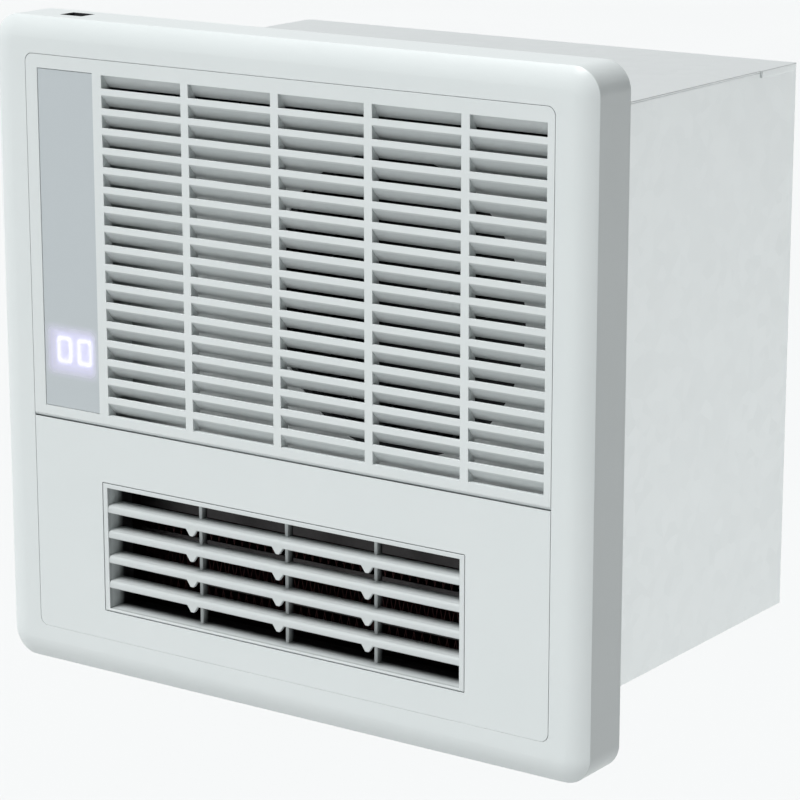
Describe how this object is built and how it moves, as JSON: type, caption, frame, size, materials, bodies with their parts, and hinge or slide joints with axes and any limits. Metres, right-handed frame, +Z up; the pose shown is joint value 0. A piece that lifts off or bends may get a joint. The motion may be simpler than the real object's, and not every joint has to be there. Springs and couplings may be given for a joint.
{
  "type": "bathroom fan heater",
  "caption": "Wall-recessed bathroom fan heater with a louvred hinged front, digital display, lower air outlet and a metal case.",
  "frame": {"origin": "centre of the wall opening in the wall plane, on which the front panel and the case's flange sit", "axes": "+X to the right as seen from the room, +Y into the wall, +Z up; the front face looks to -Y"},
  "size_m": [0.422, 0.264, 0.38],
  "materials": {
    "front_plastic": "satin",
    "smoked_window": "gloss",
    "black_plastic": "matte",
    "lit_segments": "gloss",
    "circuit_board": "matte",
    "zinc_sheet": "satin",
    "screw_steel": "satin",
    "laminated_steel": "satin",
    "rubber": "matte",
    "copper_wire": "satin",
    "heater_aluminium": "satin",
    "light_plastic": "matte",
    "component_plastic": "matte"
  },
  "bodies": {
    "heater_body": {"front_frame": "front_plastic", "outlet_panel": "front_plastic", "outlet_grille": "front_plastic", "door_catches": "front_plastic", "frame_screws": "screw_steel", "display_holder": "front_plastic", "display_board": "circuit_board", "digit_module": "black_plastic", "digit_segments": "lit_segments", "case_top": "zinc_sheet", "case_left": "zinc_sheet", "case_right": "zinc_sheet", "case_bottom": "zinc_sheet", "case_flange": "zinc_sheet", "case_back": "zinc_sheet", "wall_seal": "rubber", "panel_brackets": "zinc_sheet", "inlet_plate": "zinc_sheet", "fan_scroll": "black_plastic", "scroll_cover": "zinc_sheet", "motor_housing": "zinc_sheet", "motor_cap": "zinc_sheet", "motor_bushes": "copper_wire", "stator_core": "laminated_steel", "stator_coils": "copper_wire", "motor_bracket": "zinc_sheet", "motor_rubbers": "rubber", "motor_screws": "screw_steel", "divider_shelf": "zinc_sheet", "air_channel": "zinc_sheet", "outlet_sleeve": "laminated_steel", "heater_frame": "laminated_steel", "heater_bars_set": "heater_aluminium", "heater_fins": "heater_aluminium", "thermal_cutouts": "black_plastic", "flap_bushes": "light_plastic", "flap_motor": "zinc_sheet", "duct_collar": "light_plastic", "collar_screws": "screw_steel", "control_tray": "light_plastic", "control_board": "circuit_board", "board_parts": "component_plastic", "control_cover": "zinc_sheet", "terminal_block": "black_plastic", "run_capacitor": "component_plastic", "capacitor_clip": "zinc_sheet", "cable_gland": "black_plastic", "gland_nut": "black_plastic"},
    "door_body": {"intake_door": "front_plastic", "display_window": "smoked_window"},
    "fan_body": {"fan_wheel": "black_plastic", "fan_shaft": "screw_steel", "wheel_nut": "screw_steel", "rotor_core": "laminated_steel"},
    "flap_body": {"changeover_flap": "light_plastic", "flap_shaft": "screw_steel", "flap_seal": "rubber"},
    "vent_body": {"backdraught_flap": "light_plastic"}
  },
  "joints": [
    {"name": "door_hinge", "type": "hinge", "parent": "heater_body", "child": "door_body", "pos_m": [0, -0.031, -0.0387], "axis": [1, 0, 0], "range_deg": [0, 80]},
    {"name": "fan_spin", "type": "hinge", "parent": "heater_body", "child": "fan_body", "pos_m": [0.053, 0.041, 0.045], "axis": [0, 1, 0], "continuous": true},
    {"name": "flap_turn", "type": "hinge", "parent": "heater_body", "child": "flap_body", "pos_m": [0, 0.046, -0.15], "axis": [1, 0, 0], "range_deg": [0, 38]},
    {"name": "vent_swing", "type": "hinge", "parent": "heater_body", "child": "vent_body", "pos_m": [-0.178, 0.165, -0.096], "axis": [0, 1, 0], "range_deg": [0, 45]}
  ]
}
